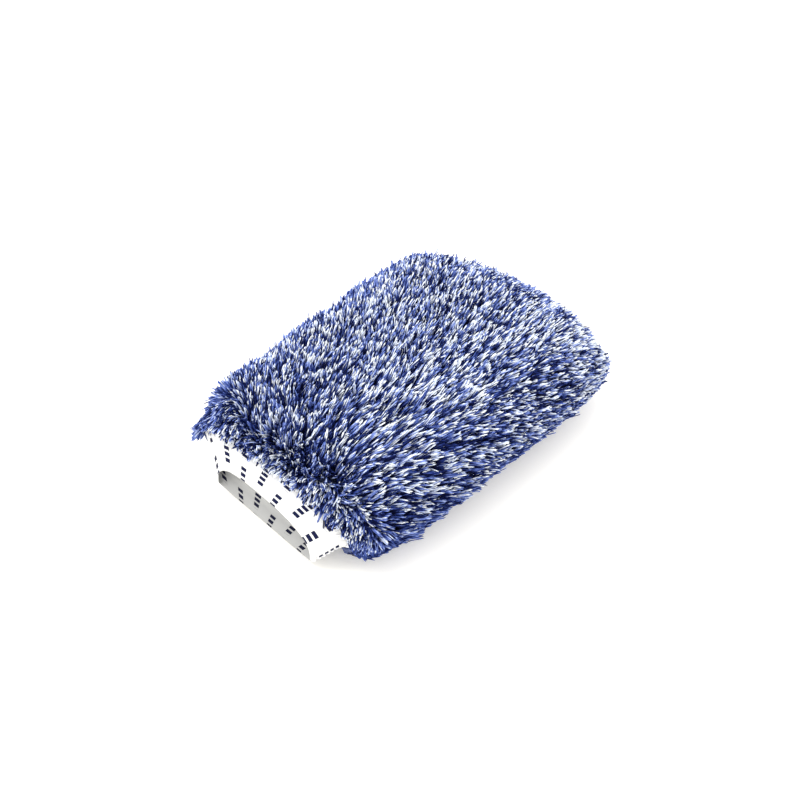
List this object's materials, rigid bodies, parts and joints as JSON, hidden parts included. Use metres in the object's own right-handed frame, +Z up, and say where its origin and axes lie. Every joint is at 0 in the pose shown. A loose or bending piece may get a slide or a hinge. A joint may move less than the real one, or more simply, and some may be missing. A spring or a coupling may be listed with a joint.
{
  "type": "wash mitt",
  "caption": "Plush hand mitt for washing vehicle paint: two deep-pile panels around padded, lined hand pocket, with a short elastic cuff whose upper lip lifts to let the hand in.",
  "frame": {"origin": "middle of the mitt's footprint, on the surface that it lies on", "axes": "+X towards the closed far end, away from the cuff; +Y across the hand; +Z up out of the surface"},
  "size_m": [0.2592, 0.185, 0.072],
  "materials": {
    "plush": "deep twisted microfibre pile in white, periwinkle and navy",
    "foam": "open-cell foam sheet",
    "lining": "smooth knitted mesh",
    "seam": "overlocked seam allowance",
    "webbing": "smooth woven elastic with staggered navy dashes",
    "thread": "sewing thread"
  },
  "bodies": {
    "mitt": {"plush_top": "plush", "plush_bottom": "plush", "foam_top": "foam", "foam_bottom": "foam", "lining_top": "lining", "lining_bottom": "lining", "body_seam": "seam", "cuff_bottom": "webbing", "neck_stitch_bottom": "thread", "side_stitch_left": "thread", "side_stitch_right": "thread"},
    "cuff_lip": {"cuff_top": "webbing", "neck_stitch_top": "thread"}
  },
  "joints": [
    {"name": "cuff_lip_lift", "type": "hinge", "parent": "mitt", "child": "cuff_lip", "pos_m": [-0.1149, 0.008, 0.042], "axis": [0, 1, 0], "range_deg": [0, 35], "stiffness_Nm_per_rad": 0.03}
  ]
}
